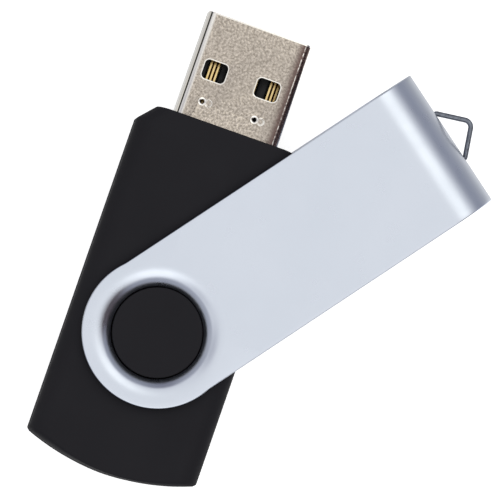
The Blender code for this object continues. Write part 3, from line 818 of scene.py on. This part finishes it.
def plug_opening():
    """The hole through the front wall for the plug, with a slightly flared mouth."""
    bm = bmesh.new()
    rows = []
    steps = (
        (BODY_FRONT - 2.5 * WALL, OPENING_CLEARANCE),
        (BODY_FRONT - OPENING_FLARE, OPENING_CLEARANCE),
        (BODY_FRONT + OPENING_FLARE, OPENING_CLEARANCE + 2 * OPENING_FLARE),
    )
    width, height = PLUG_HIGH.x - PLUG_LOW.x, PLUG_HIGH.z - PLUG_LOW.z
    for y, gap in steps:
        outline = rounded_rectangle(
            width + 2 * gap, height + 2 * gap, PLUG_CORNER + gap, 6, centre_y=MIDDLE
        )
        rows.append([(x, y, z) for x, z in outline])
    made = loft(bm, rows)
    bm.faces.new(made[0])
    bm.faces.new(made[-1])
    return add_mesh("plug_opening", bm)


# ---------------------------------------------------------------- the cover


def dish_levels():
    """The pressed rim around a hole, as (radius, depth), from the hole out to the flat face."""
    radius, slope = DISH_SLOPES[-1]
    depth = 0.0
    levels = [(radius, depth)]
    for next_radius, next_slope in reversed(DISH_SLOPES[:-1]):
        steps = 1 if next_slope == slope else DISH_STEPS
        width = (radius - next_radius) / steps
        for i in range(steps):
            middle_slope = slope + (next_slope - slope) * (i + 0.5) / steps
            depth += width * math.tan(math.radians(middle_slope))
            levels.append((radius - width * (i + 1), depth))
        radius, slope = next_radius, next_slope
    return levels[::-1]


def cover_edge(angle):
    """Distance from the swivel axis to the edge of the round end, at an angle from +Y."""
    if math.cos(angle) <= 0.0:
        return COVER_END_RADIUS
    to_square = COVER_HALF_WIDTH / max(abs(math.sin(angle)), math.cos(angle))
    return max(COVER_END_RADIUS, to_square)


def cover_path():
    """The cover's outer face from the side, as (y, z) from the upper arm to the lower arm."""
    radius = THICKNESS / 2
    bend_y = COVER_LENGTH - radius
    start = COVER_HALF_WIDTH
    shares = [i / RUN_STEPS for i in range(1, RUN_STEPS)]
    run = [(start + (bend_y - start) * share, THICKNESS) for share in shares]
    bend = arc(bend_y, radius, radius, 90, -90, BEND_STEPS)
    return run + bend + [(y, 0.0) for y, _ in reversed(run)]


def cover_end(bm, face, inward):
    """The rings of points around one hole. Returns those along the straight front edge."""
    rows = []
    for radius, depth in dish_levels() + [(None, 0.0)]:
        row = []
        for i in range(ROUND_STEPS):
            angle = math.tau * i / ROUND_STEPS
            reach = radius or cover_edge(angle)
            row.append((reach * math.sin(angle), reach * math.cos(angle), face + inward * depth))
        rows.append(row)
    made = loft(bm, rows)
    corner = ROUND_STEPS // 8
    return [made[-1][i] for i in range(-corner, corner + 1)]


def swivel_cover():
    """One strip of sheet bent into a U, with a pressed rim around the hole in each arm."""
    bm = bmesh.new()
    rows = [cover_end(bm, THICKNESS, -1)]
    across = [vert.co.x for vert in rows[0]]
    for y, z in cover_path():
        rows.append([bm.verts.new((x, y, z)) for x in across])
    rows.append(cover_end(bm, 0.0, 1))
    for row, following in zip(rows, rows[1:]):
        for i in range(len(across) - 1):
            bm.faces.new((row[i], row[i + 1], following[i + 1], following[i]))
    cover = add_mesh("cover_sheet", bm)
    if max(cover.data.polygons, key=lambda face: face.center.z).normal.z < 0:
        cover.data.flip_normals()
    sheet = cover.modifiers.new("sheet", "SOLIDIFY")
    sheet.thickness = COVER_SHEET
    sheet.offset = -1.0
    sheet.use_even_offset = True
    apply_modifiers(cover)
    bevel(cover, COVER_EDGE, 5)
    for side in (-1, 1):
        centre = side * LOOP_HALF_WIDTH + LOOP_OFFSET
        outline = stadium(SLOT_WIDTH, SLOT_HEIGHT, 12, centre, THICKNESS / 2)
        inside, outside = COVER_LENGTH - 2 * COVER_SHEET, COVER_LENGTH + MARGIN
        cut(cover, prism("slot", outline, inside, outside, True))
    smooth(cover)
    cover.data.transform(Matrix.Translation((0, 0, COVER_LOW.z)))
    cover.data.transform(COVER_TURN)
    return cover


# ---------------------------------------------------------------- the key loop


def loop_route():
    """The middle line of the key loop, in the plane of the loop, with its axis at y = 0."""
    wall = COVER_LENGTH - LOOP_PIVOT.to_2d().length
    slope = math.degrees(math.atan2(LOOP_REACH, LOOP_HALF_WIDTH))
    foot = arc(-LOOP_HALF_WIDTH - WIRE_RADIUS, WIRE_RADIUS, WIRE_RADIUS, -90, 0, 8)
    apex_y = wall + LOOP_REACH - LOOP_BEND * (1 / math.cos(math.radians(slope)) - 1)
    elbow = arc(-LOOP_HALF_WIDTH + WIRE_RADIUS, wall, WIRE_RADIUS, 180, 90 + slope, 6)
    bend = arc(0.0, apex_y - LOOP_BEND, LOOP_BEND, 90 + slope, 90, 12)
    left = [(-LOOP_HALF_WIDTH - LOOP_FOOT, 0.0)] + foot + elbow + bend
    return left + [(-x, y) for x, y in reversed(left[:-1])]


def key_loop():
    curve = bpy.data.curves.new("loop_wire", "CURVE")
    curve.dimensions = "3D"
    curve.bevel_depth = WIRE_RADIUS
    curve.bevel_resolution = 6
    curve.use_fill_caps = True
    route = loop_route()
    spline = curve.splines.new("POLY")
    spline.points.add(len(route) - 1)
    for point, (x, y) in zip(spline.points, route):
        point.co = (x + LOOP_OFFSET, y, 0.0, 1.0)
    guide = bpy.data.objects.new("loop_wire_guide", curve)
    PIECES.objects.link(guide)
    bpy.context.view_layer.update()
    graph = bpy.context.evaluated_depsgraph_get()
    bm = bmesh.new()
    bm.from_mesh(bpy.data.meshes.new_from_object(guide.evaluated_get(graph)))
    bmesh.ops.remove_doubles(bm, verts=bm.verts[:], dist=0.001 * MM)
    bpy.data.objects.remove(guide, do_unlink=True)
    loop = add_mesh("loop_wire", bm, 50)
    loop.data.transform(Matrix.Translation(LOOP_PIVOT) @ COVER_TURN)
    return loop


# ---------------------------------------------------------------- the plug


def plug_section(inset, steps=10):
    width = PLUG_HIGH.x - PLUG_LOW.x - 2 * inset
    height = PLUG_HIGH.z - PLUG_LOW.z - 2 * inset
    return rounded_rectangle(width, height, PLUG_CORNER - inset, steps, centre_y=MIDDLE)


def plug_shell():
    """A folded tube with latch windows, punched marks and two arms that hold the board."""
    bm = bmesh.new()
    rear, tip = PLUG_LOW.y, PLUG_HIGH.y
    rows = []
    for inset, ends in ((0.0, (rear, tip)), (PLUG_SHEET, (tip, rear))):
        for y in ends:
            rows.append([(x, y, z) for x, z in plug_section(inset)])
    made = loft(bm, rows)
    count = len(made[0])
    for i in range(count):
        j = (i + 1) % count
        bm.faces.new((made[-1][i], made[-1][j], made[0][j], made[0][i]))
    shell = add_mesh("plug_shell", bm)
    width, length = 2 * (PLUG_HIGH.x - PLUG_CORNER), 3 * PLUG_ARM
    middle = rear + PLUG_ARM - length / 2
    between = rounded_rectangle(width, length, PLUG_ARM_CORNER, 4, centre_y=middle)
    cut(shell, prism("between_arms", between, 0.0, THICKNESS))
    for side in (-1, 1):
        window = rounded_rectangle(
            WINDOW_WIDTH,
            WINDOW_LENGTH,
            WINDOW_CORNER,
            8,
            side * WINDOW_X + WINDOW_OFFSET,
            tip - WINDOW_FROM_TIP,
        )
        cut(shell, prism("window", window, 0.0, THICKNESS))
        punch_marks(shell, side * PUNCH_X + PUNCH_OFFSET, tip - PUNCH_FROM_TIP)
    bevel(shell, PLUG_EDGE, 3, 40)
    cut(shell, crease())
    smooth(shell)
    return shell


def crease():
    """A cutter for the fine groove along the plug's upper left edge."""
    low, high = CREASE_X - CREASE_WIDTH / 2, CREASE_X + CREASE_WIDTH / 2
    rear, tip = PLUG_LOW.y - MARGIN, PLUG_HIGH.y + MARGIN
    outline = [(low, rear), (high, rear), (high, tip), (low, tip)]
    return prism("crease", outline, PLUG_HIGH.z - CREASE_DEPTH, PLUG_HIGH.z + MARGIN)


def punch_marks(shell, x, y):
    """A punched hole in a shallow cone, and a round dent beside it with a slit."""
    top = PLUG_HIGH.z
    hole_x, dent_x = x - PUNCH_HALF_SPAN, x + PUNCH_HALF_SPAN
    above = top + PLUG_SHEET
    cut(shell, cylinder("cone", PUNCH_CONE, PUNCH_HOLE, top - PUNCH_DEPTH, above, hole_x, y))
    cut(shell, cylinder("hole", PUNCH_HOLE, PUNCH_HOLE, MIDDLE, above, hole_x, y))
    dent = cylinder("dent", PUNCH_RIM, 0.8 * PUNCH_RIM, top - PUNCH_DEPTH, above, dent_x, y)
    cut(shell, dent)
    slit = rounded_rectangle(
        PUNCH_SLIT_WIDTH, PUNCH_SLIT_LENGTH, PUNCH_SLIT_CORNER, 3, dent_x, y
    )
    cut(shell, prism("slit", slit, top - 2 * PUNCH_DEPTH, above))


def contact_box(node):
    """The middle of a contact, its tail and its nose along Y, and its lowest height."""
    low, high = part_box(node)
    return (low.x + high.x) / 2, low.y, high.y, low.z


def plug_tongue():
    """The insulator: a rear block that fills the plug, and a tongue with a slot per contact."""
    low, high = TONGUE_LOW, TONGUE_HIGH
    top = MIDDLE
    bm = bmesh.new()
    side_view = [
        (low.y, low.z),
        (high.y, low.z),
        (high.y, top - TONGUE_SLOPE_DROP),
        (high.y - TONGUE_SLOPE_LENGTH, top),
        (low.y + TONGUE_BLOCK, top),
        (low.y + TONGUE_BLOCK, high.z),
        (low.y, high.z),
    ]
    ends = loft(bm, [[(x, y, z) for y, z in side_view] for x in (low.x, high.x)])
    bm.faces.new(ends[0])
    bm.faces.new(ends[1])
    tongue = add_mesh("plug_tongue", bm)
    for node in CONTACT_NODES:
        x, _, nose, _ = contact_box(node)
        outline = rounded_rectangle(SLOT_ACROSS, 2 * SLOT_DEPTH, SLOT_CORNER, 3, x, top)
        cut(tongue, prism("slot", outline, low.y - MARGIN, nose + SLOT_PAST_NOSE, True))
    bevel(tongue, TONGUE_EDGE, 2, 40)
    smooth(tongue)
    return tongue


def contact(node):
    """A strip with three ridges along it, a dipped nose and a tail on the board."""
    x, tail_y, nose_y, low = contact_box(node)
    blade = MIDDLE - CONTACT_SHEET / 2
    tail = low + CONTACT_SHEET / 2
    heel_y, dip_y = tail_y + CONTACT_TAIL, nose_y - CONTACT_NOSE
    shares = [i / CONTACT_STEPS for i in range(1, CONTACT_STEPS + 1)]
    path = [(tail_y, tail), (heel_y, tail)]
    for share in shares:
        ease = share * share * (3 - 2 * share)
        path.append((heel_y + CONTACT_RISE * share, tail + (blade - tail) * ease))
    path.append((dip_y, blade))
    path += [(dip_y + CONTACT_NOSE * share, blade - CONTACT_DIP * share**2) for share in shares]
    rows = []
    for y, z in path:
        top = []
        for k in range(CONTACT_COLUMNS + 1):
            u = k / CONTACT_COLUMNS
            from_groove = min(abs(u - 1 / 3), abs(u - 2 / 3), u, 1 - u) * CONTACT_WIDTH
            drop = CONTACT_GROOVE_DEPTH * max(0.0, 1 - from_groove / (CONTACT_GROOVE / 2))
            top.append((x + CONTACT_WIDTH * (u - 0.5), y, z + CONTACT_SHEET / 2 - drop))
        under = [
            (x + CONTACT_WIDTH / 2, y, z - CONTACT_SHEET / 2),
            (x - CONTACT_WIDTH / 2, y, z - CONTACT_SHEET / 2),
        ]
        rows.append(top + under)
    bm = bmesh.new()
    made = loft(bm, rows)
    bm.faces.new(made[0])
    bm.faces.new(made[-1])
    return add_mesh(node.replace("usb_contact", "contact_strip"), bm, 60)


# ---------------------------------------------------------------- the room


def camera():
    data = bpy.data.cameras.new("camera")
    data.sensor_width = 36.0
    data.lens = data.sensor_width * CAMERA_DISTANCE / VIEW_WIDTH
    data.clip_start, data.clip_end = 0.01, 20.0
    obj = bpy.data.objects.new("camera", data)
    bpy.context.scene.collection.objects.link(obj)
    right = Vector((math.cos(CAMERA_ROLL), math.sin(CAMERA_ROLL), 0.0))
    up = CAMERA_BACK.cross(right).normalized()
    right = up.cross(CAMERA_BACK)
    turn = Matrix((right, up, CAMERA_BACK)).transposed().to_4x4()
    obj.matrix_world = Matrix.Translation(TARGET + CAMERA_BACK * CAMERA_DISTANCE) @ turn
    bpy.context.scene.camera = obj


def floor():
    bm = bmesh.new()
    bmesh.ops.create_grid(bm, x_segments=1, y_segments=1, size=FLOOR_HALF)
    obj = add_mesh("studio_floor", bm)
    obj.location.z = COVER_LOW.z - FLOOR_GAP
    look = Look("studio_floor", (0.80, 0.80, 0.80), 0.9, specular=0.0)
    look.vary_roughness(look.noise(40 * MM), 0.85, 0.95)
    look.shader.inputs["Emission Color"].default_value = (1.0, 1.0, 1.0, 1.0)
    look.shader.inputs["Emission Strength"].default_value = FLOOR_GLOW
    obj.data.materials.append(look.material)
    obj.visible_glossy = False
    obj.visible_diffuse = False


class Sky:
    """The light from every direction: a gradient by height, with soft patches laid over it."""

    def __init__(self, stops):
        world = bpy.data.worlds.new("studio")
        world.use_nodes = True
        bpy.context.scene.world = world
        self.tree = world.node_tree
        place = self.tree.nodes.new("ShaderNodeTexCoord")
        self.direction = place.outputs["Generated"]
        split = self.tree.nodes.new("ShaderNodeSeparateXYZ")
        ramp = self.tree.nodes.new("ShaderNodeValToRGB")
        self.tree.links.new(self.direction, split.inputs["Vector"])
        scaled = self.tree.nodes.new("ShaderNodeMapRange")
        scaled.inputs["From Min"].default_value = -1.0
        self.tree.links.new(split.outputs["Z"], scaled.inputs["Value"])
        self.tree.links.new(scaled.outputs["Result"], ramp.inputs["Fac"])
        elements = ramp.color_ramp.elements
        elements[0].position, elements[0].color = 0.0, (*stops[0][1], 1.0)
        elements[1].position, elements[1].color = 1.0, (*stops[-1][1], 1.0)
        for height, colour in stops[1:-1]:
            elements.new((height + 1) / 2).color = (*colour, 1.0)
        self.colour = ramp.outputs["Color"]
        self.background = self.tree.nodes["Background"]
        self.show()

    def show(self):
        self.tree.links.new(self.colour, self.background.inputs["Color"])

    def patch(self, direction, inner, outer, colour):
        """Sets the light within a cone: full inside one angle, and none outside another."""
        dot = self.tree.nodes.new("ShaderNodeVectorMath")
        dot.operation = "DOT_PRODUCT"
        dot.inputs[1].default_value = Vector(direction).normalized()
        self.tree.links.new(self.direction, dot.inputs[0])
        edge = self.tree.nodes.new("ShaderNodeMapRange")
        edge.interpolation_type = "SMOOTHSTEP"
        edge.inputs["From Min"].default_value = math.cos(math.radians(outer))
        edge.inputs["From Max"].default_value = math.cos(math.radians(inner))
        self.tree.links.new(dot.outputs["Value"], edge.inputs["Value"])
        blend = self.tree.nodes.new("ShaderNodeMix")
        blend.data_type = "RGBA"
        blend.inputs["B"].default_value = (*colour, 1.0)
        self.tree.links.new(edge.outputs["Result"], blend.inputs["Factor"])
        self.tree.links.new(self.colour, blend.inputs["A"])
        self.colour = blend.outputs["Result"]
        self.show()


def studio_light():
    sky = Sky(SKY)
    for direction, inner, outer, colour in LIGHTS:
        sky.patch(direction, inner, outer, colour)
    bpy.context.scene.view_settings.view_transform = "Standard"
    bpy.context.scene.view_settings.look = "None"


# ---------------------------------------------------------------- assembly


def carry_over(material, *nodes):
    """Gives CAD nodes that no piece stands for a finished material."""
    for node in nodes:
        obj = frame["nodes"][node]
        if not obj.material_slots:
            obj.data.materials.append(material)
        for material_slot in obj.material_slots:
            material_slot.material = material


def build():
    plastic = soft_touch_plastic()
    for name, node, is_lower in (
        ("upper_shell", "body_upper_shell", False),
        ("lower_shell", "body_lower_shell", True),
    ):
        finish_piece(body_shell(name, is_lower), "drive", "black_plastic", plastic, node)
    aluminium = anodised_aluminium()
    finish_piece(swivel_cover(), "cover", "anodised_aluminium", aluminium, "swivel_cover")
    finish_piece(key_loop(), "loop", "steel_wire", steel_wire(), "key_loop")
    finish_piece(plug_shell(), "drive", "nickel_plate", nickel_plate(), "usb_plug_shell")
    finish_piece(plug_tongue(), "drive", "insulator", black_insulator(), "usb_plug_insulator")
    gold = gold_plate()
    for node in CONTACT_NODES:
        finish_piece(contact(node), "drive", "gold_plate", gold, node)
    carry_over(solder_mask(), "circuit_board")
    carry_over(chip_epoxy(), "flash_memory_chip", "controller_chip")
    carry_over(crystal_can(), "crystal_oscillator")
    tan = ceramic("capacitor_ceramic", (0.26, 0.16, 0.085), (0.38, 0.25, 0.14))
    dark = ceramic("resistor_ceramic", (0.02, 0.02, 0.025), (0.045, 0.045, 0.05))
    carry_over(tan, *[f"capacitor_{number}" for number in range(1, 7)])
    carry_over(dark, *[f"resistor_{number}" for number in range(1, 5)])
    floor()
    studio_light()
    camera()


build()
